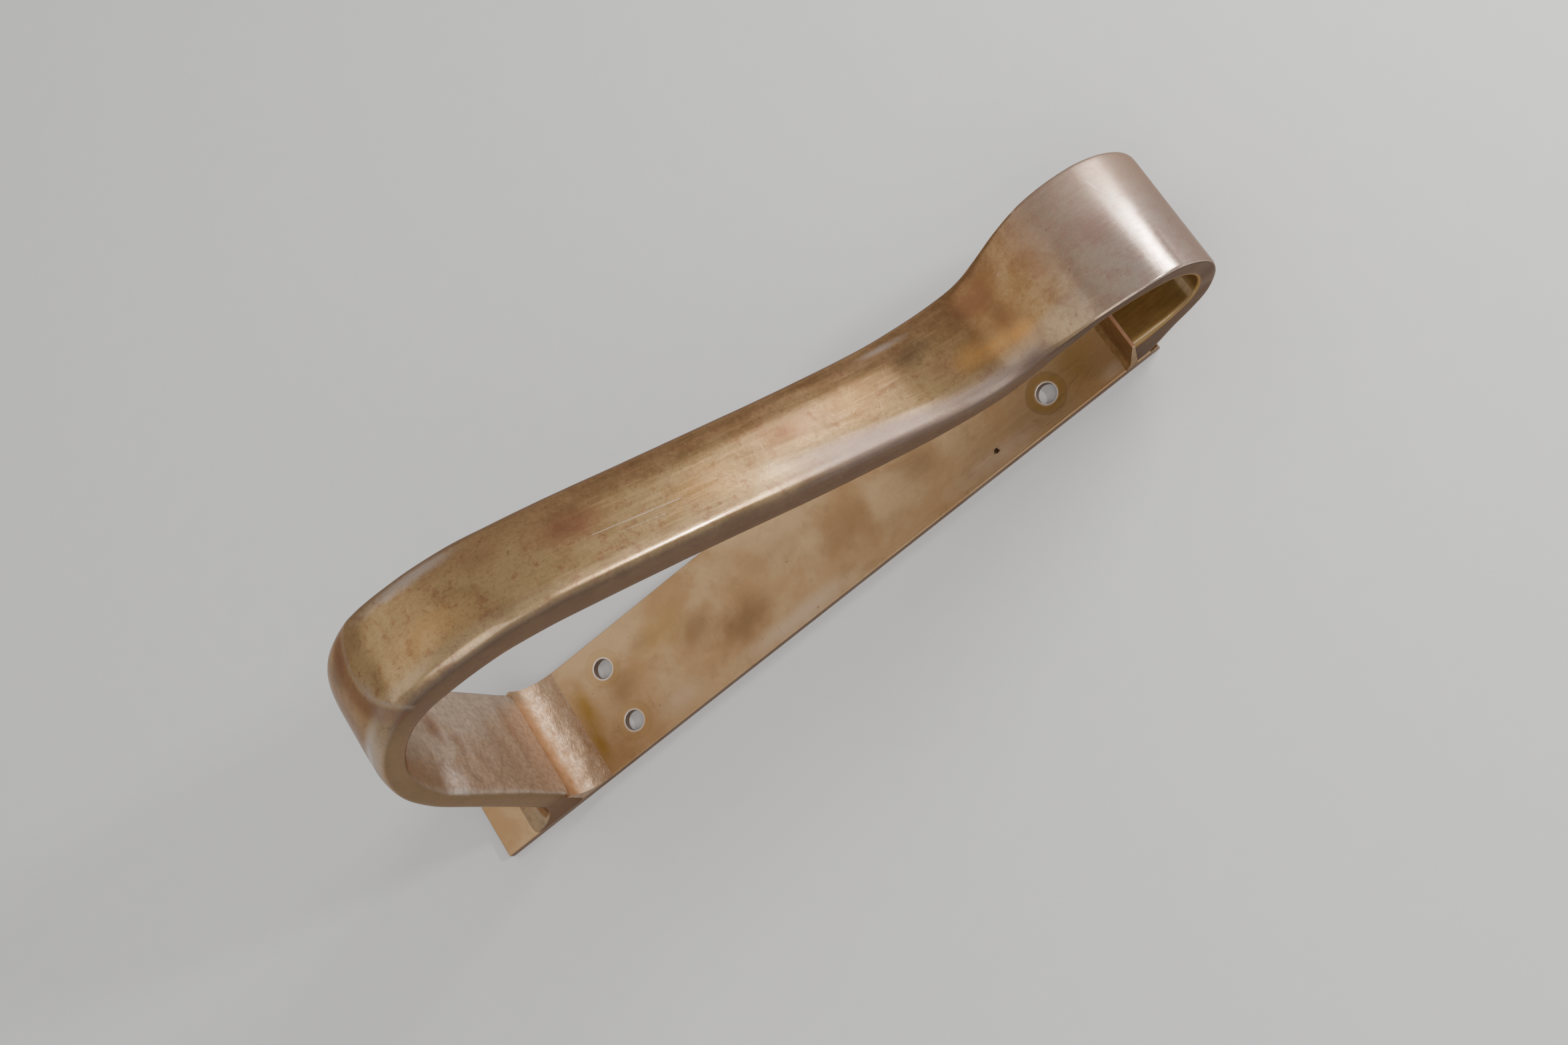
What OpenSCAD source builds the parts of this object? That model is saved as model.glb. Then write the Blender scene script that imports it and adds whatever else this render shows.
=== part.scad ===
// Cast bronze grab handle: one curved handle casting brazed to a flat, four-hole back plate.
// Origin: middle of the screw pattern on the underside of the plate. X runs from the tall leg to
// the low loop, Y across the plate, Z up from the surface that the plate is fastened to.

/* [Plate] */
// Width of the plate across Y
plate_w = 40; // [36:0.5:46]
// Thickness of the plate
plate_t = 3; // [2.5:0.5:4]
// Length of plate from the pattern's middle to the toe beyond the leg
toe_reach = 144; // [140:1:150]
// Length of plate from the pattern's middle to the heel under the loop
heel_reach = 117.5; // [116:0.5:118]

/* [Screw holes] */
// Distance between the two pairs of holes, along X
hole_span = 166; // [150:1:176]
// Distance between the holes of a pair, along Y
hole_gap = 20; // [16:1:24]
// Diameter of each hole
hole_d = 6.5; // [5:0.5:8]

/* [Leg] */
// Place in X of the leg's inner face
leg_in_x = -110; // [-112:0.5:-108]
// Thickness of the leg
leg_t = 9; // [7:0.5:10]
// Width of the leg across Y
leg_w = 39; // [36:0.5:40]
// Radius of the cove between the leg and the toe of the plate
cove_r = 17; // [14:0.5:18]

/* [Grip] */
// Width of the grip across Y, where it is narrowest
grip_w = 31; // [28:0.5:34]
// Width of the loop across Y
loop_w = 42; // [40:0.5:44]

/* [Braze] */
// Leg of the bead in the corner between the leg and the plate
bead = 11; // [6:0.5:12]

/* [Hidden] */

bronze = [0.60, 0.45, 0.30];
plate_bronze = [0.68, 0.48, 0.30];
braze_gold = [0.78, 0.55, 0.30];

leg_out_x = leg_in_x - leg_t;
// Thickness of the cove's thin front edge, where it runs out on the plate
feather = 0.5;
// Cut end of the loop's foot, in X and Z: its lower and its upper corner
foot_low = [110, plate_t];
foot_high = [113.5, 17.5];
// Place in X of the line where the underside of the loop leaves the plate
heel_seam_x = 114.8;
// Height of the bead in that corner, at the end of the plate
heel_bead_h = 0.8;
// Points round each section of the casting, and rings between two stations
SIDES = 28;
SUB = 3;

// A station of the casting is [outer x, outer z, inner x, inner z, width, squareness]. A section
// is a superellipse between the outer and the inner point, and squareness is its exponent.

// The foot of the leg flares outward in the cove. Its sections are level.
COVE_START = 15;
cove_stations = concat(
    [[leg_out_x - cove_r * (1 - sin(COVE_START)) - feather, plate_t,
        leg_in_x, plate_t, plate_w, 14]],
    [for (a = [COVE_START : 15 : 90])
        let (z = plate_t + cove_r * (1 - cos(a)), rise = a / 90)
        [leg_out_x - cove_r * (1 - sin(a)), z, leg_in_x, z,
            plate_w + (leg_w - plate_w) * rise * rise, 14 - 7 * rise]]);

// Up the leg and round the top bend
bend_stations = [
    [leg_out_x, 40, leg_in_x, 40, leg_w, 6],
    [leg_out_x - 0.5, 62, leg_in_x - 0.5, 62, leg_w, 5],
    [leg_out_x - 1, 82, leg_in_x - 1, 81, leg_w - 0.5, 4.5],
    [leg_out_x + 1.5, 100, leg_in_x + 1.5, 96, leg_w - 1, 4],
    [-112, 114, -104, 108.5, grip_w + 5, 3.8],
    [-104, 127, -98, 118, grip_w + 4, 3.6],
    [-93, 138.5, -90, 126, grip_w + 2.5, 3.6],
    [-80, 146, -80, 130.5, grip_w + 1.5, 3.6],
    [-64, 146, -66.5, 130, grip_w + 1, 3.6]];

// Down the sloping grip to the saddle before the loop
grip_stations = [
    [-49, 142, -55, 127, grip_w + 0.5, 3.6],
    [-36.5, 135, -45.5, 121.5, grip_w, 3.6],
    [-24, 126, -33, 113, grip_w, 3.6],
    [2.5, 105, -6.5, 93.5, grip_w, 3.6],
    [33, 80.5, 24, 69, grip_w + 0.5, 3.8],
    [52.5, 66, 44.5, 55, grip_w + 1, 4],
    [65, 58, 60.5, 47, grip_w + 2, 4.2],
    [78, 52.5, 77, 42.5, grip_w + 3, 4.6],
    [87, 51.5, 88, 43, grip_w + 3.5, 5.5],
    [95, 53.5, 97.5, 46.5, grip_w + 5, 8],
    [104, 56, 105.5, 50.5, loop_w - 3.5, 12]];

// Round the loop and back along its foot to the plate
loop_stations = [
    [113, 57.5, 113.5, 53.5, loop_w - 1.5, 16],
    [120, 57, 119.5, 53.2, loop_w - 0.5, 18],
    [127, 55.5, 125.5, 51.5, loop_w, 18],
    [133.5, 53, 130.5, 48.8, loop_w, 18],
    [139.5, 48.5, 134.8, 44.8, loop_w - 0.5, 18],
    [144, 41.5, 138, 39.5, loop_w - 1, 18],
    [146, 34, 139.5, 33.5, loop_w - 1.5, 18],
    [145.2, 26.5, 139, 28, loop_w - 1.5, 18],
    [142.5, 19.5, 137, 23, loop_w - 2, 18],
    [138.5, 14.5, 133.8, 19.7, loop_w - 2, 18],
    [132.5, 11, 129.5, 18, plate_w, 18],
    [125.5, 8.5, 125, 17.3, plate_w, 18],
    [119, 5.2, 120.5, 17.2, plate_w, 18],
    [114, plate_t, 117, 17.2, plate_w, 18],
    [foot_low[0], foot_low[1], foot_high[0], foot_high[1], plate_w, 18]];

stations = concat(cove_stations, bend_stations, grip_stations, loop_stations);

// Catmull-Rom value between b and c at t from 0 to 1
function between(a, b, c, d, t) =
    0.5 * (2 * b + (c - a) * t + (2 * a - 5 * b + 4 * c - d) * t * t
        + (3 * b - a - 3 * c + d) * t * t * t);

// The station at place s, counted in stations from the foot of the leg. Nothing dips into the plate.
function station_at(s) =
    let (
        last = len(stations) - 1,
        i = min(floor(s), last - 1),
        v = between(stations[max(i - 1, 0)], stations[i], stations[i + 1],
            stations[min(i + 2, last)], s - i))
    [v[0], max(v[1], plate_t), v[2], max(v[3], plate_t), v[4], v[5]];

function power(v, e) = sign(v) * pow(abs(v), e);

// The points of one section, each halfway from the inner to the outer point plus its share
function section(st) =
    [for (k = [0 : SIDES - 1])
        let (
            a = 360 * (k + 0.5) / SIDES,
            across = st[4] / 2 * power(cos(a), 2 / st[5]),
            share = 0.5 + 0.5 * power(sin(a), 2 / st[5]))
        [st[2] + (st[0] - st[2]) * share, across, st[3] + (st[1] - st[3]) * share]];

module handle_casting() {
    rings = [for (j = [0 : (len(stations) - 1) * SUB]) section(station_at(j / SUB))];
    count = len(rings);
    points = [for (ring = rings, p = ring) p];
    sides = [for (j = [0 : count - 2], k = [0 : SIDES - 1])
        let (m = (k + 1) % SIDES, a = j * SIDES, b = a + SIDES)
        each [[a + m, a + k, b + k], [b + m, a + m, b + k]]];
    first = [for (k = [0 : SIDES - 1]) k];
    last = [for (k = [SIDES - 1 : -1 : 0]) (count - 1) * SIDES + k];
    color(bronze)
        polyhedron(points, concat(sides, [first, last]), convexity = 6);
}

module base_plate() {
    color(plate_bronze)
        difference() {
            translate([-toe_reach, -plate_w / 2, 0])
                cube([toe_reach + heel_reach, plate_w, plate_t]);
            for (x = [-hole_span / 2, hole_span / 2], y = [-hole_gap / 2, hole_gap / 2])
                translate([x, y, -1]) cylinder(d = hole_d, h = plate_t + 2, $fn = 64);
        }
}

// A bead drawn in the XZ plane and run across the plate
module bead_across(outline) {
    color(braze_gold)
        translate([0, plate_w / 2, 0]) rotate([90, 0, 0])
            linear_extrude(plate_w) polygon(outline);
}

// Concave bead in the corner between the leg's inner face and the plate
module leg_braze() {
    bead_across(concat(
        [[leg_in_x, plate_t]],
        [for (a = [0 : 10 : 90])
            [leg_in_x + bead * (1 - sin(a)), plate_t + bead * (1 - cos(a))]]));
}

// Bead over the cut end of the loop's foot, thicker towards the plate
module loop_braze() {
    bead_across([foot_low, foot_high, [112.6, 17.3], [110.7, 12.5], [109.1, 8],
        [107.9, 5], [105.8, plate_t]]);
}

// Thin bead where the underside of the loop leaves the end of the plate
module heel_braze() {
    bead_across([[heel_seam_x, plate_t], [heel_reach, plate_t + heel_bead_h],
        [heel_reach, plate_t]]);
}

base_plate();
handle_casting();
leg_braze();
loop_braze();
heel_braze();
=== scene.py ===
"""Looks of the bronze grab rail: the handle, its plate and its braze beads, on a pale floor."""

import math

import bmesh
import bpy
import numpy as np
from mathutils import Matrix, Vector, noise


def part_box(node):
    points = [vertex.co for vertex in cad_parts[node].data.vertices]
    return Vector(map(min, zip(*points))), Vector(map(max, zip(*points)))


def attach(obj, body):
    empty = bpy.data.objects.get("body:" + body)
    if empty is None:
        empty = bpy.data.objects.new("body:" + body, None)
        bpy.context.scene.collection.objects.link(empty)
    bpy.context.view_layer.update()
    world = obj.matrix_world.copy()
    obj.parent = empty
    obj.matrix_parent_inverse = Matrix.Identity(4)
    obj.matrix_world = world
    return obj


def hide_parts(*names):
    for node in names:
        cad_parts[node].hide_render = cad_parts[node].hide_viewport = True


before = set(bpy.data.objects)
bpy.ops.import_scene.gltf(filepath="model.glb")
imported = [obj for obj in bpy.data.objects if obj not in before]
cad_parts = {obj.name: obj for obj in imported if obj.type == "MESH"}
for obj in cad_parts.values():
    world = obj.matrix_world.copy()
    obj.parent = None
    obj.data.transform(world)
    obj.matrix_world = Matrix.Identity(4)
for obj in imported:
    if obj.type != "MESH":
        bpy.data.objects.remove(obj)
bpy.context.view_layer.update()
MM = 0.001

# Sizes from here on are in millimetres, in the part's own frame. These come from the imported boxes.
plate_low, plate_high = [np.array(corner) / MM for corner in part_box("base_plate")]
bead_low, bead_high = [np.array(corner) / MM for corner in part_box("leg_braze")]
PLATE_T = plate_high[2]
PLATE_W = plate_high[1] - plate_low[1]
LEG_IN_X = bead_low[0]
BEAD_LEG = bead_high[0] - bead_low[0]

# These repeat the sizes in the CAD source
LEG_T = 9.0
LEG_W = 39.0
GRIP_W = 31.0
LOOP_W = 42.0
COVE_R = 17.0
FEATHER = 0.5
HOLE_X = 83.0
HOLE_Y = 10.0

# The pit in the plate, in X and Y
PIT = (60.7, -14.4)

# The groove on the grip runs across it as it goes down: its place in Y where X is 0, and its slope
GROOVE_Y = 0.4
GROOVE_SLOPE = -0.125

# The raised line over the top bend is a bow round this point, in X and Y
LIP_X = -89.5
LIP_Y = 2.0
LIP_BOW = 0.035


# ---------------------------------------------------------------- camera, lights and floor

def add_camera():
    data = bpy.data.cameras.new("camera")
    data.sensor_width = 36.0
    data.lens = 52.04
    data.clip_start = 0.01
    camera = bpy.data.objects.new("camera", data)
    camera.location = (0.1680, -0.2201, 0.6438)
    camera.rotation_euler = [math.radians(a) for a in (7.32, 23.20, -34.80)]
    bpy.context.scene.collection.objects.link(camera)
    bpy.context.scene.camera = camera


def add_area(name, azimuth, elevation, distance, size, power, colour, target=(0, 0, 0.05)):
    """A rectangular soft light, aimed at target and unseen by the camera, in metres.
    Azimuth 0 is +X and 90 is +Y."""
    data = bpy.data.lights.new(name, "AREA")
    data.shape = "RECTANGLE"
    data.size, data.size_y = size
    data.energy = power
    data.color = colour
    lamp = bpy.data.objects.new(name, data)
    a, e = math.radians(azimuth), math.radians(elevation)
    away = Vector((math.cos(a) * math.cos(e), math.sin(a) * math.cos(e), math.sin(e)))
    lamp.location = Vector(target) + away * distance
    lamp.rotation_euler = away.to_track_quat("Z", "Y").to_euler()
    lamp.visible_camera = False
    bpy.context.scene.collection.objects.link(lamp)


def add_world(colour, strength):
    world = bpy.data.worlds.new("studio")
    world.use_nodes = True
    background = world.node_tree.nodes["Background"]
    background.inputs["Color"].default_value = (*colour, 1)
    background.inputs["Strength"].default_value = strength
    bpy.context.scene.world = world


def add_floor():
    """A pale floor, 8 m across, just below the plate so that the two faces don't meet."""
    half, drop = 4.0, 0.0002
    mesh = bpy.data.meshes.new("floor")
    corners = [(-half, -half, 0), (half, -half, 0), (half, half, 0), (-half, half, 0)]
    mesh.from_pydata(corners, [], [(0, 1, 2, 3)])
    floor = bpy.data.objects.new("floor", mesh)
    floor.location.z = -drop
    bpy.context.scene.collection.objects.link(floor)
    s = Shader("floor_paper")
    tone = s.mix(s.noise(9, detail=3), (0.66, 0.67, 0.68), (0.70, 0.70, 0.70))
    s.finish(tone, metallic=0.0, roughness=0.75, bump=s.noise(900, detail=2), bump_height=0.00004)
    mesh.materials.append(s.material)


# ---------------------------------------------------------------- material nodes

class Shader:
    """Builds one procedural material. Points are in millimetres in the part's own frame."""

    def __init__(self, name):
        self.material = bpy.data.materials.new(name)
        self.material.use_nodes = True
        self.tree = self.material.node_tree
        self.surface = self.tree.nodes["Principled BSDF"]
        coordinates = self.tree.nodes.new("ShaderNodeTexCoord")
        self.place = self.vector("SCALE", coordinates.outputs["Object"], scale=1 / MM)

    def plug(self, socket, value):
        if isinstance(value, bpy.types.NodeSocket):
            self.tree.links.new(value, socket)
        elif isinstance(value, (tuple, list)) and socket.type == "RGBA" and len(value) == 3:
            socket.default_value = (*value, 1)
        else:
            socket.default_value = value

    def vector(self, operation, a, b=None, scale=None):
        node = self.tree.nodes.new("ShaderNodeVectorMath")
        node.operation = operation
        self.plug(node.inputs[0], a)
        if b is not None:
            self.plug(node.inputs[1], b)
        if scale is not None:
            self.plug(node.inputs["Scale"], scale)
        return node.outputs["Value"] if operation in ("LENGTH", "DOT_PRODUCT") else node.outputs[0]

    def math(self, operation, a, b=0.0, clamp=False):
        node = self.tree.nodes.new("ShaderNodeMath")
        node.operation = operation
        node.use_clamp = clamp
        self.plug(node.inputs[0], a)
        self.plug(node.inputs[1], b)
        return node.outputs[0]

    def add(self, *values):
        """The sum of the values, never above 1."""
        total = values[0]
        for value in values[1:]:
            total = self.math("ADD", total, value, clamp=True)
        return total

    def times(self, *values):
        product = values[0]
        for value in values[1:]:
            product = self.math("MULTIPLY", product, value)
        return product

    def sway(self, value, texture, amount):
        """Value, moved up and down by a noise over a range of about amount."""
        return self.math("ADD", value, self.times(self.math("SUBTRACT", texture, 0.5), amount))

    def noise(self, size, detail=4, rough=0.55, warp=0.0, place=None, stretch=(1, 1, 1), shift=0.0):
        """Noise with features about size millimetres across, longer along an axis with a larger stretch."""
        place = self.place if place is None else place
        place = self.vector("MULTIPLY", place, tuple(1 / s for s in stretch))
        if shift:
            place = self.vector("ADD", place, (shift, shift, shift))
        node = self.tree.nodes.new("ShaderNodeTexNoise")
        self.plug(node.inputs["Vector"], place)
        node.inputs["Scale"].default_value = 1 / size
        node.inputs["Detail"].default_value = detail
        node.inputs["Roughness"].default_value = rough
        node.inputs["Distortion"].default_value = warp
        return node.outputs["Fac"]

    def cells(self, size, feature="F1"):
        """The distance to the middle of the nearest cell, on cells about size millimetres across."""
        node = self.tree.nodes.new("ShaderNodeTexVoronoi")
        node.feature = feature
        self.plug(node.inputs["Vector"], self.place)
        node.inputs["Scale"].default_value = 1 / size
        return node.outputs["Distance"]

    def step(self, value, low, high):
        """0 below low, 1 above high, smooth between. It runs the other way where low is above high."""
        node = self.tree.nodes.new("ShaderNodeMapRange")
        node.interpolation_type = "SMOOTHSTEP"
        self.plug(node.inputs["Value"], value)
        falling = low > high
        node.inputs["From Min"].default_value = min(low, high)
        node.inputs["From Max"].default_value = max(low, high)
        node.inputs["To Min"].default_value = 1.0 if falling else 0.0
        node.inputs["To Max"].default_value = 0.0 if falling else 1.0
        return node.outputs["Result"]

    def axis(self, index, place=None):
        node = self.tree.nodes.new("ShaderNodeSeparateXYZ")
        self.plug(node.inputs[0], self.place if place is None else place)
        return node.outputs[index]

    def facing(self, index):
        """One component of the surface's own normal, in the part's frame."""
        node = self.tree.nodes.new("ShaderNodeNewGeometry")
        return self.axis(index, node.outputs["Normal"])

    def attribute(self, name):
        node = self.tree.nodes.new("ShaderNodeAttribute")
        node.attribute_name = name
        return node.outputs["Vector"]

    def blot(self, centre, radii, ragged, full=0.0):
        """A soft patch of the given radii round centre, at its full strength within a share of them.
        Ragged is a noise that frays its edge."""
        away = self.vector("DIVIDE", self.vector("SUBTRACT", self.place, centre), radii)
        return self.step(self.sway(self.vector("LENGTH", away), ragged, 1.6), 1.0, full)

    def blots(self, patches, ragged):
        """All the patches of a list, each its centre, its radii and its strength."""
        return self.add(*[self.times(self.blot(centre, radii, ragged), strength)
                          for centre, radii, strength in patches])

    def scratch(self, a, b, width):
        """1 along a thin line from a to b, and 0 away from it."""
        along = Vector(b) - Vector(a)
        start = self.vector("SUBTRACT", self.place, a)
        reach = self.vector("DOT_PRODUCT", start, tuple(along))
        share = self.math("DIVIDE", reach, along.length_squared, clamp=True)
        foot = self.vector("SCALE", tuple(along), scale=share)
        away = self.vector("LENGTH", self.vector("SUBTRACT", start, foot))
        return self.step(away, width, 0.25 * width)

    def mix(self, factor, a, b):
        node = self.tree.nodes.new("ShaderNodeMix")
        node.data_type = "RGBA"
        self.plug(node.inputs["Factor"], factor)
        self.plug(node.inputs["A"], a)
        self.plug(node.inputs["B"], b)
        return node.outputs["Result"]

    def blend(self, factor, a, b):
        node = self.tree.nodes.new("ShaderNodeMix")
        node.data_type = "FLOAT"
        self.plug(node.inputs["Factor"], factor)
        self.plug(node.inputs["A"], a)
        self.plug(node.inputs["B"], b)
        return node.outputs["Result"]

    def edges(self, low, high):
        """1 on the worn outer edges of a finely divided mesh."""
        node = self.tree.nodes.new("ShaderNodeNewGeometry")
        return self.step(node.outputs["Pointiness"], low, high)

    def finish(self, colour, metallic, roughness, bump=None, bump_height=0.0001, **others):
        self.plug(self.surface.inputs["Base Color"], colour)
        self.plug(self.surface.inputs["Metallic"], metallic)
        self.plug(self.surface.inputs["Roughness"], roughness)
        for name, value in others.items():
            self.plug(self.surface.inputs[name.replace("_", " ")], value)
        if bump is not None:
            node = self.tree.nodes.new("ShaderNodeBump")
            node.inputs["Strength"].default_value = 1.0
            node.inputs["Distance"].default_value = bump_height
            self.plug(node.inputs["Height"], bump)
            self.plug(self.surface.inputs["Normal"], node.outputs["Normal"])


# ---------------------------------------------------------------- handle casting

def cove_stations():
    """The flared foot. A station is outer x, outer z, inner x, inner z, width and squareness."""
    out_x = LEG_IN_X - LEG_T
    first = 15
    front_x = out_x - COVE_R + COVE_R * math.sin(math.radians(first)) - FEATHER
    rows = [(front_x, PLATE_T, LEG_IN_X, PLATE_T, PLATE_W, 14)]
    for degrees in range(first, 91, 15):
        a, rise = math.radians(degrees), degrees / 90
        z = PLATE_T + COVE_R * (1 - math.cos(a))
        width = PLATE_W + (LEG_W - PLATE_W) * rise * rise
        rows.append((out_x - COVE_R * (1 - math.sin(a)), z, LEG_IN_X, z, width, 14 - 7 * rise))
    return rows


def leg_and_bend():
    out_x = LEG_IN_X - LEG_T
    return [
        (out_x, 40, LEG_IN_X, 40, LEG_W, 6),
        (out_x - 0.5, 62, LEG_IN_X - 0.5, 62, LEG_W, 5),
        (out_x - 1, 82, LEG_IN_X - 1, 81, LEG_W - 0.5, 4.5),
        (out_x + 1.5, 100, LEG_IN_X + 1.5, 96, LEG_W - 1, 4),
        (-112, 114, -104, 108.5, GRIP_W + 5, 3.8),
        (-104, 127, -98, 118, GRIP_W + 4, 3.6),
        (-93, 138.5, -90, 126, GRIP_W + 2.5, 3.6),
        (-80, 146, -80, 130.5, GRIP_W + 1.5, 3.6),
        (-64, 146, -66.5, 130, GRIP_W + 1, 3.6)]


GRIP = [
    (-49, 142, -55, 127, GRIP_W + 0.5, 3.6),
    (-36.5, 135, -45.5, 121.5, GRIP_W, 3.6),
    (-24, 126, -33, 113, GRIP_W, 3.6),
    (2.5, 105, -6.5, 93.5, GRIP_W, 3.6),
    (33, 80.5, 24, 69, GRIP_W + 0.5, 3.8),
    (52.5, 66, 44.5, 55, GRIP_W + 1, 4),
    (65, 58, 60.5, 47, GRIP_W + 2, 4.2),
    (78, 52.5, 77, 42.5, GRIP_W + 3, 4.6),
    (87, 51.5, 88, 43, GRIP_W + 3.5, 5.5),
    (95, 53.5, 97.5, 46.5, GRIP_W + 5, 8),
    (104, 56, 105.5, 50.5, LOOP_W - 3.5, 12)]

LOOP = [
    (113, 57.5, 113.5, 53.5, LOOP_W - 1.5, 16),
    (120, 57, 119.5, 53.2, LOOP_W - 0.5, 18),
    (127, 55.5, 125.5, 51.5, LOOP_W, 18),
    (133.5, 53, 130.5, 48.8, LOOP_W, 18),
    (139.5, 48.5, 134.8, 44.8, LOOP_W - 0.5, 18),
    (144, 41.5, 138, 39.5, LOOP_W - 1, 18),
    (146, 34, 139.5, 33.5, LOOP_W - 1.5, 18),
    (145.2, 26.5, 139, 28, LOOP_W - 1.5, 18),
    (142.5, 19.5, 137, 23, LOOP_W - 2, 18),
    (138.5, 14.5, 133.8, 19.7, LOOP_W - 2, 18),
    (132.5, 11, 129.5, 18, PLATE_W, 18),
    (125.5, 8.5, 125, 17.3, PLATE_W, 18),
    (119, 5.2, 120.5, 17.2, PLATE_W, 18),
    (114, PLATE_T, 117, 17.2, PLATE_W, 18),
    (110, PLATE_T, 113.5, 17.5, PLATE_W, 18)]

# How finely the casting is divided: along it, up each side and across each face
RINGS_PER_STATION = 12
SIDE_STEPS = 7
FACE_STEPS = 22

# How strongly the points of a ring crowd towards its corners
CROWDING = 1.35


def between(a, b, c, d, t):
    """Catmull-Rom value between b and c."""
    return 0.5 * (2 * b + (c - a) * t + (2 * a - 5 * b + 4 * c - d) * t * t
                  + (3 * b - a - 3 * c + d) * t ** 3)


def section(station):
    """One ring of the casting: a superellipse between the outer and the inner point of a station.
    The points crowd towards the four corners. Each comes with its share, 0 inside to 1 outside."""
    outer_x, outer_z, inner_x, inner_z, width, power = station
    corner = 2 ** (-1 / power)

    def run(steps):
        u = np.linspace(-1, 1, 2 * steps + 1)[:-1]
        return corner * np.sign(u) * (1 - (1 - np.abs(u)) ** CROWDING)

    side, face = run(SIDE_STEPS), run(FACE_STEPS)
    side_out = (1 - np.abs(side) ** power) ** (1 / power)
    face_out = (1 - np.abs(face) ** power) ** (1 / power)
    across = np.concatenate([side_out, -face, -side_out, face])
    height = np.concatenate([side, face_out, -side, -face_out])
    share = 0.5 + 0.5 * height
    x = inner_x + (outer_x - inner_x) * share
    z = inner_z + (outer_z - inner_z) * share
    return np.stack([x, across * width / 2, z], axis=1), share


def sweep(stations):
    """The whole casting's vertices and faces, and each vertex's share and distance along the path."""
    rows = np.array(stations, float)
    last = len(rows) - 1
    points, shares, lengths = [], [], []
    travelled, before = 0.0, None
    for i in range(last * RINGS_PER_STATION + 1):
        s = i / RINGS_PER_STATION
        k = min(int(s), last - 1)
        a, b, c, d = rows[max(k - 1, 0)], rows[k], rows[k + 1], rows[min(k + 2, last)]
        row = between(a, b, c, d, s - k)
        row[1], row[3] = max(row[1], PLATE_T), max(row[3], PLATE_T)
        ring, share = section(row)
        middle = np.array([(row[0] + row[2]) / 2, (row[1] + row[3]) / 2])
        if before is not None:
            travelled += float(np.linalg.norm(middle - before))
        before = middle
        points.append(ring)
        shares.append(share)
        lengths.append(np.full(len(ring), travelled))
    count, around = len(points), len(points[0])
    faces = []
    for j in range(count - 1):
        for k in range(around):
            m = (k + 1) % around
            a, b = j * around, (j + 1) * around
            faces.append((a + k, a + m, b + m, b + k))
    faces.append(tuple(reversed(range(around))))
    faces.append(tuple((count - 1) * around + k for k in range(around)))
    return np.concatenate(points), faces, np.concatenate(shares), np.concatenate(lengths)


def wobble(points, size, seed):
    """Smooth noise from -1 to 1 at each point, with features about size millimetres across."""
    offset = Vector((seed * 17.3, seed * 5.1, seed * 29.7))
    return np.array([noise.noise(Vector(p / size) + offset) for p in points])


def smooth(value, low, high):
    """0 below low, 1 above high, smooth between."""
    t = np.clip((value - low) / (high - low), 0, 1)
    return t * t * (3 - 2 * t)


def bell(value, width):
    """1 where value is 0, fading away on both sides."""
    return np.exp(-(value / width) ** 2)


def handle_relief(points, normals, share):
    """How far, in millimetres, the hand-finished surface stands off the smooth sweep."""
    x, y, z = points.T
    outside = smooth(share, 0.6, 0.95)
    relief = 0.11 * wobble(points, 26, 1) + 0.035 * wobble(points, 9, 2) + 0.012 * wobble(points, 3.5, 3)
    # Hammered inner face of the leg
    hammered = smooth(normals[:, 0], 0.6, 0.9) * smooth(-x, 96, 103) * smooth(z, 14, 34)
    relief += hammered * (0.30 * wobble(points, 7, 4) + 0.16 * wobble(points, 2.8, 5))
    # Dished top of the bend, with a raised line where it turns down to the leg
    lip = x - LIP_X - LIP_BOW * (y - LIP_Y) ** 2
    dish = 0.22 * bell(lip - 12, 10) * bell(y, 12)
    relief += outside * (0.16 * bell(lip, 1.9) - dish) * smooth(z, 118, 128)
    # Groove that runs from the middle of the grip to the shoulder by the saddle
    past_groove = GROOVE_Y + GROOVE_SLOPE * x - y
    on_groove = smooth(x, 10, 30) * (1 - smooth(x, 66, 90)) * outside
    relief += on_groove * (0.08 * bell(past_groove + 1.4, 1.2) - 0.36 * smooth(past_groove, 0, 4.5))
    # Crisper near shoulder, up the grip and round the bend
    relief += 0.16 * outside * bell(y + 12.6, 1.5) * smooth(z, 88, 106)
    # Filed flats on the far shoulder
    relief -= 0.18 * outside * bell(y - 9.5, 2.2) * smooth(x, -70, -50) * (1 - smooth(x, 60, 75))
    return relief


def build_handle():
    """The casting: the CAD's sections swept more finely, with the relief added to its surface."""
    stations = cove_stations() + leg_and_bend() + GRIP + LOOP
    points, faces, share, along = sweep(stations)
    mesh = bpy.data.meshes.new("handle")
    mesh.from_pydata((points * MM).tolist(), [], faces)
    mesh.update()
    normals = np.empty(len(points) * 3)
    mesh.vertex_normals.foreach_get("vector", normals)
    normals = normals.reshape(-1, 3)
    relief = handle_relief(points, normals, share)
    # The joints to the plate and the cut end stay where the CAD has them
    fixed = smooth(points[:, 2], PLATE_T, PLATE_T + 3)
    fixed *= 1 - smooth(along, along.max() - 6, along.max() - 1)
    points = points + normals * (relief * fixed)[:, None]
    low, high = [np.array(corner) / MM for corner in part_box("handle_casting")]
    points = np.clip(points, low, high)
    mesh.vertices.foreach_set("co", (points * MM).astype(np.float32).ravel())
    flow = mesh.attributes.new("flow", "FLOAT_VECTOR", "POINT")
    flow.data.foreach_set("vector", np.stack([along, points[:, 1], share * 12], axis=1).ravel())
    mesh.polygons.foreach_set("use_smooth", [True] * len(mesh.polygons))
    mesh.update()
    mesh.materials.append(handle_bronze())
    handle = bpy.data.objects.new("handle_cast", mesh)
    bpy.context.scene.collection.objects.link(handle)
    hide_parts("handle_casting")
    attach(handle, "root")


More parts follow.
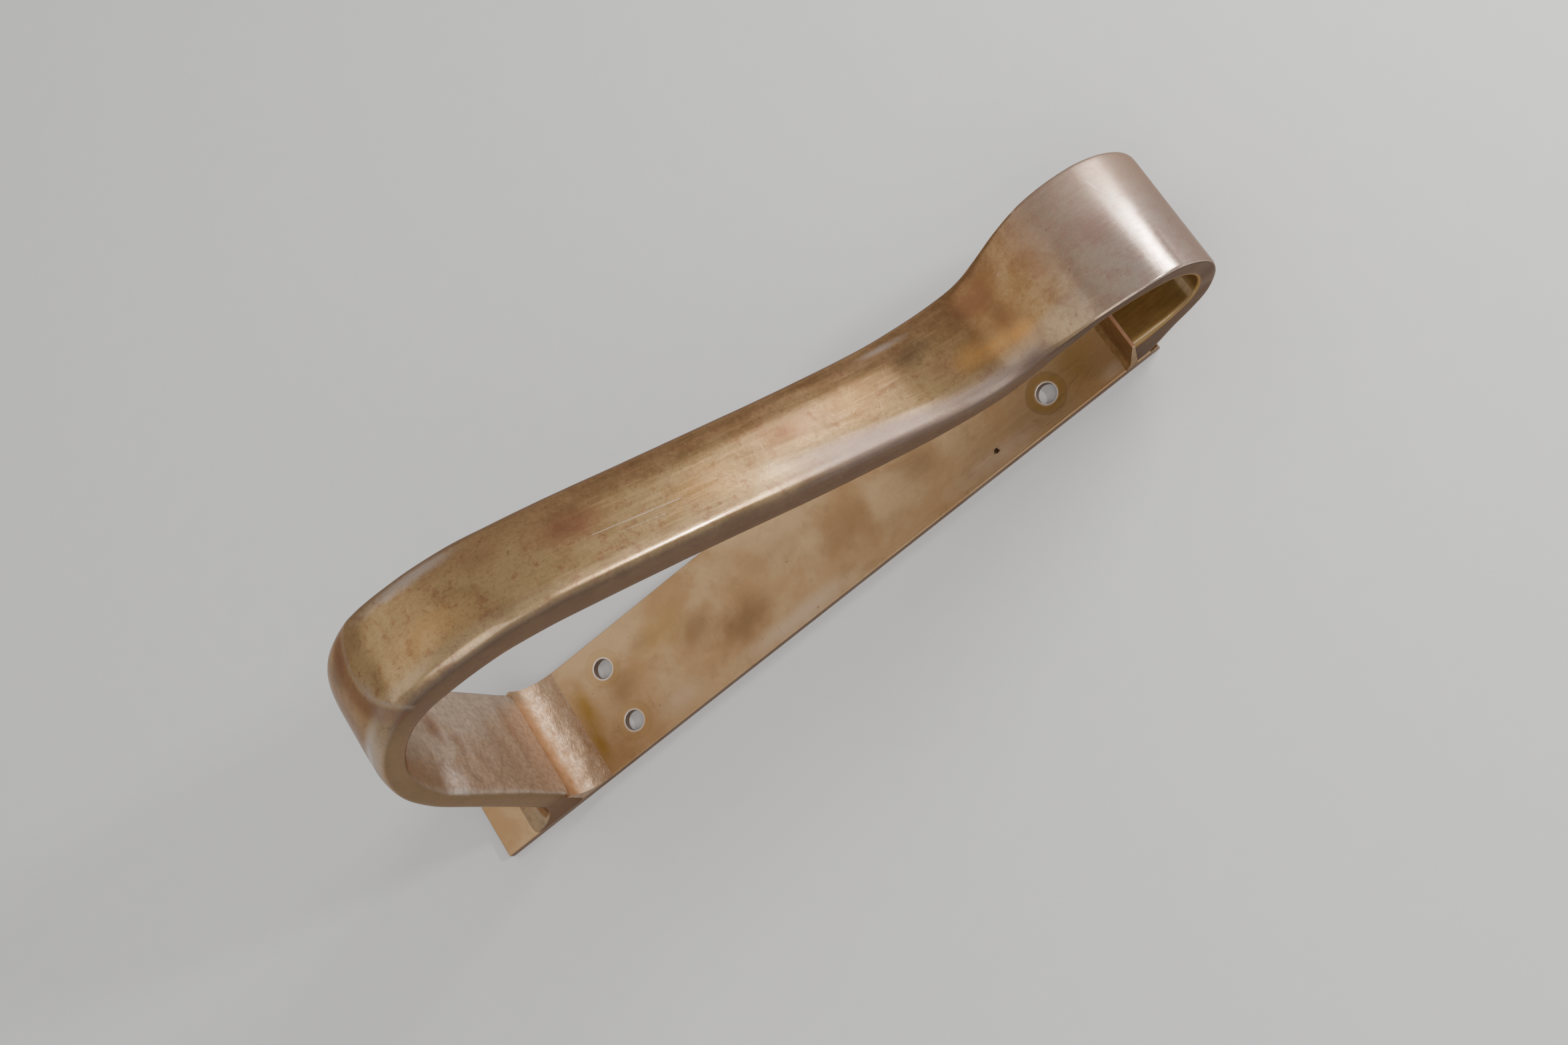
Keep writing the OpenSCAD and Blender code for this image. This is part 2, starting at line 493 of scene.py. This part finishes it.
# Patches of colour on the casting, each its centre, its radii and its strength
RUST_PATCHES = [
    ((-24, 3.5, 126), (20, 8, 14), 1.0), ((-42, 6, 139), (14, 6, 8), 0.55),
    ((31, 2, 82), (24, 9, 19), 0.65),
    ((71, -2, 55), (9, 9, 8), 0.45), ((-90, 9, 141), (14, 7, 12), 0.5), ((-103, -2, 126), (9, 17, 11), 0.75),
    ((-111, 5, 72), (8, 11, 8), 1.0), ((-111, -1, 63), (8, 8, 5), 0.8), ((-110, 6, 27), (5, 18, 5), 0.4),
    ((126, 2, 56), (8, 9, 6), 0.5), ((118, -9, 57), (9, 8, 5), 0.3), ((86, 8, 52), (10, 6, 6), 0.5)]
GOLD_PATCHES = [
    ((78, -4, 52.5), (9, 6, 6), 0.6), ((87, -6, 51.5), (10, 5, 6), 0.5), ((95, -8, 53.5), (8, 5, 6), 0.55),
    ((8, -2, 101), (22, 8, 16), 0.22), ((-60, -4, 145), (22, 8, 8), 0.25), ((48, 2, 68), (16, 8, 12), 0.18),
    ((-126, 0, 8), (14, 22, 9), 0.9)]
DARK_PATCHES = [
    ((66, 6, 57), (11, 6, 8), 0.7), ((57, 2, 63), (24, 12, 17), 0.45),
    ((52, 10, 66), (14, 4, 12), 0.6), ((-98, 8, 133), (8, 7, 9), 0.6),
    ((92, 2, 52), (5, 7, 5), 0.4), ((-112, -8, 100), (4, 9, 7), 0.35)]
# Pale patches: partly rubbed metal, partly painted highlights, such as the long narrow ones along the
# shoulders
PALE_AND_HIGHLIGHT_PATCHES = [
    ((-60, 12.5, 143), (26, 3.2, 9), 0.9), ((60, 12, 61), (16, 1.6, 9), 0.7),
    ((-88, -6, 142), (5, 9, 5), 0.5), ((80, -14, 52), (22, 4, 6), 0.7),
    ((-111, -14, 73), (4, 9, 14), 0.8), ((-110, 0, 42), (3, 18, 9), 0.6)]
SADDLE_PATCHES = [((92, 0, 52), (26, 24, 10), 0.9), ((110, 4, 56), (14, 18, 6), 0.6)]

# Fine scratches on the casting, each its two ends and its half width
SCRATCHES = [
    ((-19, -1.9, 122.2), (1.8, -3, 105.5), 0.16), ((-14, -4.4, 118.2), (-3, -5.2, 109.4), 0.10),
    ((-44, 1.2, 139.4), (-30, -0.4, 130.5), 0.10), ((16, 3.1, 94.4), (27, 1.5, 85.4), 0.12),
    ((132, 0, 53.7), (138.9, -6.2, 49.1), 0.14), ((132.9, 14.7, 53.3), (134.4, 9.9, 52.5), 0.14),
    ((121, -12, 56.9), (130, -8.5, 54.5), 0.10), ((98, 9, 54.4), (106, 12, 56.4), 0.10)]

# Colours of the casting, linear
OLIVE = (0.265, 0.170, 0.078)
KHAKI = (0.430, 0.285, 0.140)
RUST = (0.215, 0.090, 0.052)
ORANGE = (0.600, 0.300, 0.095)
UMBER = (0.110, 0.065, 0.040)
SADDLE_BROWN = (0.235, 0.112, 0.046)
SILVER = (0.500, 0.395, 0.330)
ROSE = (0.400, 0.265, 0.220)
# Painted shade for the grip's sides and underside
PLUM_SHADE = (0.125, 0.084, 0.068)
PEARL = (0.780, 0.660, 0.590)
BLUSH = (0.340, 0.185, 0.155)
ASH = (0.290, 0.225, 0.208)
# Painted shade for the loop's far end
OLD_ROSE_SHADE = (0.300, 0.205, 0.150)
DUSK = (0.175, 0.125, 0.110)
# Painted shade for the loop's side faces
LOOP_SIDE_SHADE = (0.055, 0.043, 0.040)
# Painted shade for the sides of the leg's rim
RIM_SHADE_BROWN = (0.215, 0.152, 0.094)
# Painted light for the leg's inner face
LIT_PINK_GREY = (0.740, 0.590, 0.490)
INSIDE_GOLD = (0.270, 0.165, 0.062)
INSIDE_PALE = (0.380, 0.245, 0.090)
FOOT_BROWN = (0.160, 0.085, 0.065)
WORN_EDGE = (0.660, 0.480, 0.340)


def handle_bronze():
    """Old polished casting: olive patina with rust and gold patches, bare and silvery on the loop."""
    s = Shader("handle_bronze")
    flow = s.attribute("flow")
    cloud = s.noise(15, detail=6, rough=0.62, warp=0.4)
    mottle = s.noise(3.8, detail=6, rough=0.7, shift=40)
    grain = s.noise(0.55, detail=3, rough=0.7, shift=90)
    streak = s.noise(1.1, detail=4, rough=0.65, place=flow, stretch=(16, 1, 1))
    hair = s.noise(0.22, detail=3, rough=0.8, place=flow, stretch=(60, 1, 1), shift=7)
    ragged = s.blend(0.45, cloud, mottle)
    fleck = s.noise(1.3, detail=4, rough=0.75, shift=57)
    x = s.axis(0)

    tall_end = s.times(s.step(x, 25, -60), 0.45)
    colour = s.mix(s.add(s.step(cloud, 0.36, 0.64), tall_end), OLIVE, KHAKI)
    far_side = s.times(s.step(s.axis(1), 4, 12), s.step(x, -75, -45))
    colour = s.mix(s.times(far_side, 0.4), colour, RUST)
    on_leg = s.times(s.step(s.facing(0), 0.6, 0.9), s.step(x, -98, -106))
    colour = s.mix(s.times(s.step(mottle, 0.50, 0.68), 0.6), colour, RUST)
    colour = s.mix(s.times(s.step(fleck, 0.50, 0.66), 0.24), colour, UMBER)
    # Painted light: the leg's inner face is painted a pale pinkish grey for the bright light it reflects
    colour = s.mix(s.times(on_leg, 0.80), colour, LIT_PINK_GREY)
    colour = s.mix(s.times(s.step(fleck, 0.48, 0.34), 0.30), colour, KHAKI)
    colour = s.mix(s.times(s.step(streak, 0.50, 0.70), 0.35), colour, KHAKI)
    colour = s.mix(s.blots(SADDLE_PATCHES, ragged), colour, SADDLE_BROWN)
    # Pale patches, some of them painted highlights along the shoulders
    colour = s.mix(s.blots(PALE_AND_HIGHLIGHT_PATCHES, ragged), colour, SILVER)
    colour = s.mix(s.times(s.blots(DARK_PATCHES, ragged), 0.75), colour, UMBER)
    colour = s.mix(s.times(s.blots(RUST_PATCHES, ragged), 0.85), colour, RUST)
    colour = s.mix(s.blots(GOLD_PATCHES, ragged), colour, ORANGE)

    # Painted shade: the sides and the underside of the grip are painted a darker plum brown, and the leg's
    # rim a lighter brown
    down = s.add(s.step(s.facing(2), 0.35, -0.25), s.step(s.math("ABSOLUTE", s.facing(1)), 0.45, 0.85))
    grip_only = s.step(x, 112, 96)
    on_rim = s.step(x, -78, -96)
    colour = s.mix(s.times(s.times(down, grip_only), 0.80), colour, s.mix(on_rim, PLUM_SHADE, RIM_SHADE_BROWN))

    # Below the groove the near shoulder is a satin, silver-brown facet
    groove_y = s.math("ADD", s.times(x, GROOVE_SLOPE), GROOVE_Y)
    below = s.step(s.math("SUBTRACT", groove_y, s.axis(1)), 0.5, 4.5)
    facet = s.times(s.times(s.step(x, 14, 44), s.step(x, 104, 92)), below)
    facet = s.times(facet, s.step(s.facing(1), -0.92, -0.6))
    colour = s.mix(s.times(facet, 0.75), colour, s.mix(streak, DUSK, ASH))

    # A painted highlight, a pale line, arcs over the raised lip of the top bend, with a dark band on its leg
    # side
    off_middle = s.math("SUBTRACT", s.axis(1), LIP_Y)
    bow = s.times(off_middle, off_middle, LIP_BOW)
    lip = s.math("SUBTRACT", s.math("SUBTRACT", x, LIP_X), bow)
    on_bend = s.times(s.step(s.axis(2), 118, 128), s.step(s.facing(2), 0.2, 0.5))
    band = s.times(s.step(lip, -0.6, -2.5), s.step(lip, -10, -5))
    colour = s.mix(s.times(s.times(band, on_bend), 0.55), colour, RUST)
    line = s.times(s.step(s.math("ABSOLUTE", lip), 1.3, 0.2), on_bend)
    colour = s.mix(s.times(line, s.times(ragged, 0.55)), colour, SILVER)

    # The loop is rubbed bright from the saddle onwards, on its outer face
    loop = s.step(s.math("ADD", x, s.times(ragged, 14)), 108, 140)
    outer = s.step(s.axis(2, flow), 7, 10)
    bright = s.times(loop, outer)
    colour = s.mix(bright, colour, s.mix(s.step(mottle, 0.4, 0.7), SILVER, ROSE))
    # Painted shade: the loop is painted darker towards its tip, where it turns away from the light
    tip_shade = s.times(s.step(s.facing(0), 0.62, 0.82), bright)
    colour = s.mix(s.times(tip_shade, 0.62), colour, DUSK)
    # Painted shade: the loop's far end is painted darker, where its highlight fades
    far_end_shade = s.times(s.step(s.axis(1), -4, 16), bright)
    colour = s.mix(s.times(far_end_shade, 0.65), colour, OLD_ROSE_SHADE)
    blush = s.blot((127, 2, 55.4), (9, 10, 8), ragged)
    colour = s.mix(s.times(blush, 0.55), colour, BLUSH)
    # Painted shade: its side faces are painted dark. Its inside is golden
    side = s.times(s.step(s.math("ABSOLUTE", s.facing(1)), 0.75, 0.93), s.step(x, 92, 106))
    colour = s.mix(s.times(side, 0.93), colour, LOOP_SIDE_SHADE)
    inside = s.times(s.step(s.axis(2, flow), 2.5, 0.8), s.step(x, 100, 108))
    colour = s.mix(inside, colour, s.mix(s.step(streak, 0.30, 0.75), INSIDE_PALE, INSIDE_GOLD))
    # The side of the leg's foot is dark red-brown
    foot = s.times(s.step(s.math("ABSOLUTE", s.facing(1)), 0.7, 0.95), s.step(s.axis(2), 26, 14))
    foot = s.times(foot, s.step(x, -96, -104))
    colour = s.mix(s.times(foot, 0.6), colour, FOOT_BROWN)
    # A bare hammered spot on the leg, worn edges, scratches and small dark specks
    bare = s.times(s.blot((-111.5, -14, 75), (6, 8, 10), ragged), on_leg)
    colour = s.mix(bare, colour, PEARL)
    leather = s.cells(1.5, "SMOOTH_F1")
    dimples = s.times(s.step(leather, 0.30, 0.62), on_leg)
    colour = s.mix(s.times(dimples, 0.30), colour, DUSK)
    colour = s.mix(s.times(s.edges(0.545, 0.62), 0.40), colour, WORN_EDGE)
    scratched = s.add(*[s.scratch(a, b, width) for a, b, width in SCRATCHES])
    colour = s.mix(s.times(scratched, 0.6), colour, PEARL)
    specks = s.times(s.step(s.cells(2.7), 0.16, 0.05), s.step(mottle, 0.45, 0.6))
    colour = s.mix(s.times(specks, 0.45), colour, UMBER)
    colour = s.mix(s.times(s.step(grain, 0.35, 0.75), 0.18), colour, UMBER)

    near = s.step(s.axis(1), 18, -14)
    roughness = s.blend(s.step(cloud, 0.3, 0.7), 0.265, 0.225)
    roughness = s.blend(facet, roughness, 0.42)
    roughness = s.blend(bright, roughness, s.blend(near, 0.48, 0.215))
    roughness = s.blend(on_leg, roughness, 0.34)
    roughness = s.sway(roughness, streak, 0.14)
    roughness = s.math("ADD", roughness, s.times(inside, 0.14))
    metallic = s.blend(s.step(mottle, 0.35, 0.8), 0.96, 0.82)
    metallic = s.blend(on_leg, metallic, 0.66)

    height = s.times(grain, 0.10)
    height = s.math("ADD", height, s.times(mottle, 0.12))
    height = s.math("ADD", height, s.times(hair, 0.10))
    height = s.math("ADD", height, s.times(s.times(leather, on_leg), 0.9))
    height = s.math("ADD", height, s.times(s.times(streak, inside), 0.4))
    # A hand's polish on the near shoulder, off the loop and off the facet
    polish = s.times(s.blend(bright, 0.9, 0.0), s.step(s.axis(1), -7.5, -11))
    polish = s.times(polish, s.step(s.facing(2), 0.40, 0.65))
    polish = s.times(polish, s.math("SUBTRACT", 1.0, facet))
    s.finish(colour, metallic, roughness, bump=height, bump_height=0.00012,
             Coat_Weight=polish, Coat_Roughness=0.09, Coat_IOR=1.6,
             Specular_Tint=(0.72, 0.61, 0.54), Specular_IOR_Level=0.25)
    return s.material


# ---------------------------------------------------------------- plate

def build_plate():
    """The plate with broken edges, softened rims on the holes and one pit."""
    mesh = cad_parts["base_plate"].data.copy()
    mesh.name = "plate"
    bm = bmesh.new()
    bm.from_mesh(mesh)
    bmesh.ops.remove_doubles(bm, verts=bm.verts, dist=1e-6)
    bmesh.ops.dissolve_limit(bm, angle_limit=math.radians(1), verts=bm.verts, edges=bm.edges)
    sharp = [e for e in bm.edges if e.is_manifold and e.calc_face_angle() > math.radians(40)]
    # The bar's own edges are long, and the short ones are round the holes
    longest_rim = 2 * MM
    straight = [e for e in sharp if e.calc_length() > longest_rim]
    rims = [e for e in sharp if e.calc_length() <= longest_rim]
    bmesh.ops.bevel(bm, geom=straight, offset=0.35 * MM, segments=3, profile=0.5, affect="EDGES")
    rims = [e for e in rims if e.is_valid]
    bmesh.ops.bevel(bm, geom=rims, offset=0.18 * MM, segments=2, profile=0.5, affect="EDGES")
    bm.to_mesh(mesh)
    bm.free()
    mesh.materials.clear()
    mesh.materials.append(plate_bronze())
    plate = bpy.data.objects.new("plate_bar", mesh)
    bpy.context.scene.collection.objects.link(plate)
    cutter = pit_cutter()
    cut = plate.modifiers.new("pit", "BOOLEAN")
    cut.operation = "DIFFERENCE"
    cut.solver = "EXACT"
    cut.object = cutter
    graph = bpy.context.evaluated_depsgraph_get()
    pitted = bpy.data.meshes.new_from_object(plate.evaluated_get(graph))
    plate.modifiers.clear()
    plate.data = pitted
    bpy.data.objects.remove(cutter)
    pitted.polygons.foreach_set("use_smooth", [True] * len(pitted.polygons))
    pitted.set_sharp_from_angle(angle=math.radians(8))
    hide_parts("base_plate")
    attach(plate, "root")


def pit_cutter():
    """An uneven lump that sinks a casting pit into the plate's top face."""
    bm = bmesh.new()
    bmesh.ops.create_icosphere(bm, subdivisions=3, radius=1.0)
    for v in bm.verts:
        lump = 1 + 0.35 * noise.noise(v.co * 1.7 + Vector((3.1, 8.2, 1.4)))
        v.co = Vector((v.co.x * 0.75, v.co.y * 0.55, v.co.z * 0.8)) * lump * MM
    mesh = bpy.data.meshes.new("pit_cutter")
    bm.to_mesh(mesh)
    bm.free()
    cutter = bpy.data.objects.new("pit_cutter", mesh)
    cutter.location = (PIT[0] * MM, PIT[1] * MM, (PLATE_T + 0.1) * MM)
    bpy.context.scene.collection.objects.link(cutter)
    bpy.context.view_layer.update()
    return cutter


# Patches of colour on the plate, each its centre, its radii and its strength
# Smoke patches lie under the grip: partly smoke from the torch, partly the grip's shadow painted on the
# plate
SMOKE_AND_SHADOW = [
    ((-34, -7, 3), (15, 9, 9), 0.9), ((-48, 1, 3), (12, 9, 9), 0.8), ((37, -2, 3), (16, 9, 9), 0.8),
    ((8, -4, 3), (20, 9, 9), 0.5), ((-82, 2, 3), (9, 12, 9), 0.6), ((20, -11, 3), (12, 5, 9), 0.35),
    ((-14, 5, 3), (12, 8, 9), 0.4), ((-67, 9, 3), (9, 6, 9), 0.6)]
AMBER = [
    ((-95, 2, 3), (5, 13, 9), 0.9), ((-97, -9, 3), (4, 9, 9), 0.9), ((94, -8, 3), (10, 12, 9), 0.55),
    ((-62, 8, 3), (16, 10, 9), 0.35)]
BLOOM = [
    ((-18, -17, 3), (34, 5, 9), 0.7), ((60, -16, 3), (26, 5, 9), 0.6), ((-66, -14, 3), (14, 7, 9), 0.4),
    ((104, -17, 3), (7, 3, 9), 0.6)]

# Colours of the plate, linear
COPPER = (0.43, 0.262, 0.130)
HONEY = (0.52, 0.345, 0.190)
# Smoke stains, and the painted shadow under the grip
SMOKE_AND_SHADOW_BROWN = (0.215, 0.125, 0.062)
AMBER_STAIN = (0.36, 0.215, 0.055)
PALE_COPPER = (0.62, 0.46, 0.32)
BURR_PALE = (0.80, 0.68, 0.58)
# Painted shade for the bar's side faces and hole walls
SIDE_FACE_SHADE = (0.14, 0.075, 0.045)
SPECK = (0.06, 0.035, 0.02)
PIT_DARK = (0.045, 0.025, 0.018)

# The holes, each its place and how much its ring is stained
HOLE_STAINS = [(HOLE_X, -HOLE_Y, 1.0), (HOLE_X, HOLE_Y, 0.8),
               (-HOLE_X, -HOLE_Y, 0.35), (-HOLE_X, HOLE_Y, 0.35)]


def plate_bronze():
    """Rolled bar: golden copper with smoke from the torch and painted shadow under the grip, amber stains
    and pale rubbed patches.
    """
    s = Shader("plate_bronze")
    cloud = s.noise(20, detail=5, rough=0.55, warp=0.3, shift=13)
    mottle = s.noise(6, detail=6, rough=0.65, shift=71)
    grain = s.noise(0.5, detail=3, rough=0.7)
    lines = s.noise(0.5, detail=4, rough=0.75, stretch=(40, 1, 1), shift=5)
    cross = s.noise(0.9, detail=3, rough=0.7, stretch=(1, 18, 1), shift=31)
    ragged = s.blend(0.35, cloud, mottle)

    colour = s.mix(s.step(cloud, 0.34, 0.66), COPPER, HONEY)
    colour = s.mix(s.times(s.step(mottle, 0.5, 0.75), 0.3), colour, SMOKE_AND_SHADOW_BROWN)
    colour = s.mix(s.blots(BLOOM, ragged), colour, PALE_COPPER)
    # Painted shadow, with torch smoke: the plate is darker under the grip
    colour = s.mix(s.times(s.blots(SMOKE_AND_SHADOW, ragged), 0.8), colour, SMOKE_AND_SHADOW_BROWN)
    colour = s.mix(s.blots(AMBER, ragged), colour, AMBER_STAIN)

    # Amber rings round the holes, strongest at the loop's end, and a bright rim on each hole
    for x, y, stain in HOLE_STAINS:
        flat = s.vector("MULTIPLY", s.vector("SUBTRACT", s.place, (x, y, 0)), (1, 1, 0))
        reach = s.sway(s.vector("LENGTH", flat), mottle, 2.2)
        ring = s.times(s.step(reach, 3.6, 4.2), s.step(reach, 6.8, 5.2))
        colour = s.mix(s.times(ring, stain * 0.65), colour, AMBER_STAIN)
        edge = s.times(s.step(reach, 5.6, 6.0), s.step(reach, 7.0, 6.2))
        colour = s.mix(s.times(edge, stain * 0.3), colour, SMOKE_AND_SHADOW_BROWN)
        burr = s.step(s.vector("LENGTH", flat), 3.85, 3.5)
        colour = s.mix(s.times(burr, 0.9), colour, BURR_PALE)

    # Painted shade: the bar's cut edges and the hole walls are painted dark
    wall = s.step(s.math("ABSOLUTE", s.facing(2)), 0.5, 0.2)
    colour = s.mix(s.times(wall, 0.85), colour, SIDE_FACE_SHADE)
    colour = s.mix(s.times(s.step(lines, 0.56, 0.74), 0.22), colour, PALE_COPPER)
    colour = s.mix(s.times(s.step(cross, 0.60, 0.75), 0.18), colour, SMOKE_AND_SHADOW_BROWN)
    specks = s.times(s.step(s.cells(4.3), 0.11, 0.03), s.step(mottle, 0.5, 0.62))
    colour = s.mix(s.times(specks, 0.7), colour, SPECK)
    pit = s.blot((*PIT, PLATE_T), (1.4, 1.2, 1.5), s.noise(0.9), full=0.3)
    colour = s.mix(pit, colour, PIT_DARK)

    scratched = s.add(s.scratch((84.8, -14, 3), (94.3, -11.3, 3), 0.16),
                      s.scratch((90, -15.5, 3), (99, -12, 3), 0.12))
    colour = s.mix(s.times(scratched, 0.6), colour, SMOKE_AND_SHADOW_BROWN)
    roughness = s.blend(s.step(cloud, 0.3, 0.7), 0.46, 0.36)
    roughness = s.sway(roughness, lines, 0.2)
    height = s.math("ADD", s.times(cloud, 1.2), s.times(mottle, 0.35))
    height = s.math("ADD", height, s.times(lines, 0.12))
    height = s.math("ADD", height, s.times(grain, 0.10))
    s.finish(colour, 0.92, roughness, bump=height, bump_height=0.00016)
    return s.material


# ---------------------------------------------------------------- braze beads

# Colours of the braze, linear
BRAZE_PALE = (0.44, 0.30, 0.195)
BRAZE_BROWN = (0.37, 0.235, 0.14)
BRAZE_COPPER = (0.33, 0.20, 0.085)
BRAZE_DARK = (0.25, 0.145, 0.06)
CREST_HIGHLIGHT = (0.72, 0.53, 0.41)
FOLD_SHADE = (0.25, 0.14, 0.08)
COPPER_LIP = (0.80, 0.47, 0.30)


def braze_bronze(name, bright, dull, smooth_above, lip_at=None):
    """Braze metal: smooth above a height, crumpled below it, with a bright copper lip at lip_at."""
    s = Shader(name)
    z = s.axis(2)
    mottle = s.noise(3.2, detail=6, rough=0.7, warp=0.6, shift=19)
    crumple = s.noise(1.4, detail=5, rough=0.65, warp=1.2, stretch=(1, 1.8, 1))
    grain = s.noise(0.4, detail=3)
    colour = s.mix(s.step(mottle, 0.36, 0.66), dull, bright)
    creased = s.blend(s.step(z, smooth_above - 1, smooth_above + 2), 1.0, 0.15)
    # Painted light and shade on the crumples: the crests, where the bump stands highest, are painted pale
    # and the folds dark
    crest_highlight = s.times(s.step(crumple, 0.54, 0.70), creased)
    colour = s.mix(s.times(crest_highlight, 0.35), colour, CREST_HIGHLIGHT)
    fold_shade = s.times(s.step(crumple, 0.44, 0.30), creased)
    colour = s.mix(s.times(fold_shade, 0.5), colour, FOLD_SHADE)
    if lip_at is not None:
        colour = s.mix(s.step(z, lip_at - 0.6, lip_at), colour, COPPER_LIP)
    roughness = s.blend(s.step(mottle, 0.3, 0.7), 0.50, 0.38)
    height = s.math("ADD", s.times(crumple, creased), s.times(grain, 0.12))
    s.finish(colour, 0.92, roughness, bump=height, bump_height=0.0002)
    return s.material


def bead(name, node, outline, back_x, wrinkle, material, rows=90):
    """A hand-laid bead, run across the plate in rows and wrinkled by about wrinkle millimetres.
    Outline lists the X and Z of its free surface, from one seam to the other, and back_x is the
    place in X of its hidden corner on the plate."""
    low, high = [np.array(corner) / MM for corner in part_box(node)]
    outline = np.array(outline, float)
    width = high[1] - low[1]
    count = len(outline)
    points, faces = [], []
    for j in range(rows + 1):
        y = low[1] + width * j / rows
        for k, (x, z) in enumerate(outline):
            free = math.sin(math.pi * (k / (count - 1)) ** 0.6)
            points.append((x, y, z, free))
    points = np.array(points)
    # The seams and the ends stay put, and the near half is the rougher one
    free = points[:, 3] * smooth(width / 2 - np.abs(points[:, 1]), 0, 2.5)
    free *= 0.35 + 0.65 * smooth(-points[:, 1], -14, 8)
    place = points[:, :3]
    fold = wobble(place * (1, 0.55, 1), 3.4, 11) + 0.5 * wobble(place * (1, 0.7, 1), 1.5, 12)
    slope = np.gradient(outline, axis=0)
    normal = np.stack([slope[:, 1], -slope[:, 0]], axis=1)
    normal /= np.linalg.norm(normal, axis=1)[:, None]
    normal = np.tile(normal, (rows + 1, 1))
    push = wrinkle * free * fold
    place = place + np.stack([normal[:, 0] * push, 0 * push, normal[:, 1] * push], axis=1)
    # Only the toe touches the plate, so that no other face lies in the plate's top
    toe = points[:, 2] <= low[2] + 0.001
    place[~toe, 2] = np.clip(place[~toe, 2], low[2] + 0.05, high[2])
    corner = len(place)
    back = np.array([(back_x, low[1] + width * j / rows, low[2]) for j in range(rows + 1)])
    place = np.concatenate([place, back])
    for j in range(rows):
        for k in range(count - 1):
            a = j * count + k
            faces.append((a, a + 1, a + count + 1, a + count))
        top, toe_at = (j + 1) * count - 1, j * count
        faces.append((top, corner + j, corner + j + 1, top + count))
        faces.append((corner + j, toe_at, toe_at + count, corner + j + 1))
    faces.append(tuple(reversed(range(count))) + (corner,))
    faces.append(tuple(rows * count + k for k in range(count)) + (corner + rows,))
    mesh = bpy.data.meshes.new(name)
    mesh.from_pydata((place * MM).tolist(), [], faces)
    bm = bmesh.new()
    bm.from_mesh(mesh)
    bmesh.ops.recalc_face_normals(bm, faces=bm.faces)
    bm.to_mesh(mesh)
    bm.free()
    mesh.polygons.foreach_set("use_smooth", [True] * len(mesh.polygons))
    mesh.set_sharp_from_angle(angle=math.radians(50))
    mesh.materials.append(material)
    piece = bpy.data.objects.new(name, mesh)
    bpy.context.scene.collection.objects.link(piece)
    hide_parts(node)
    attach(piece, "root")


def build_beads():
    """The three braze beads."""
    # The leg's bead is a quarter circle. It runs a little way into the leg, so that the leg's rounded
    # corners leave no slot beside it.
    fillet, arcs = [], 24
    for i in range(arcs + 1):
        a = math.pi / 2 * i / arcs
        fillet.append((LEG_IN_X + BEAD_LEG * (1 - math.sin(a)), PLATE_T + BEAD_LEG * (1 - math.cos(a))))
    tuck_x = LEG_IN_X - 1.2
    fillet.append((tuck_x, PLATE_T + BEAD_LEG))
    skin = braze_bronze("braze_leg", BRAZE_PALE, BRAZE_BROWN, smooth_above=8)
    bead("braze_leg", "leg_braze", fillet, tuck_x, wrinkle=0.34, material=skin)
    # The loop's bead goes down over the cut end of the foot, each point so far in from its toe
    toe_x, top_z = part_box("loop_braze")[0].x / MM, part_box("loop_braze")[1].z / MM
    foot_x = toe_x + 4.2
    run = [(7.7, top_z), (6.8, top_z - 0.2), (4.9, 12.5), (3.3, 8), (2.1, 5), (0, PLATE_T)]
    loop, parts = [], 4
    for (x0, z0), (x1, z1) in zip(run, run[1:]):
        for i in range(parts):
            loop.append((toe_x + x0 + (x1 - x0) * i / parts, z0 + (z1 - z0) * i / parts))
    loop.append((toe_x, PLATE_T))
    skin = braze_bronze("braze_loop", BRAZE_COPPER, BRAZE_DARK, smooth_above=6, lip_at=top_z - 0.4)
    bead("braze_loop", "loop_braze", loop, foot_x, wrinkle=0.10, material=skin)
    # The thin one at the end of the plate keeps its CAD shape
    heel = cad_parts["heel_braze"]
    heel.data.materials.clear()
    skin = braze_bronze("braze_heel", BRAZE_COPPER, BRAZE_DARK, smooth_above=5)
    heel.data.materials.append(skin)


# ---------------------------------------------------------------- the scene

add_camera()
add_world(colour=(1.0, 0.985, 0.965), strength=0.55)
# Close to the loop, for the highlight on it
add_area("window", azimuth=16, elevation=20.5, distance=0.6, size=(0.25, 0.12), power=3.8,
         colour=(1.0, 0.98, 0.95), target=(0.135, 0, 0.05))
# Small, for the bright line along the grip's near shoulder
add_area("shoulder_strip", azimuth=-16, elevation=32, distance=1.3, size=(0.12, 0.10), power=5,
         colour=(1.0, 0.98, 0.97))
# The near side, and the bend and the saddle
add_area("overhead", azimuth=-75, elevation=58, distance=1.6, size=(1.2, 1.2), power=7,
         colour=(1.0, 0.97, 0.93))
add_area("ceiling", azimuth=142, elevation=56, distance=1.6, size=(1.6, 1.2), power=3.2,
         colour=(1.0, 0.98, 0.95))
add_floor()
build_handle()
build_plate()
build_beads()
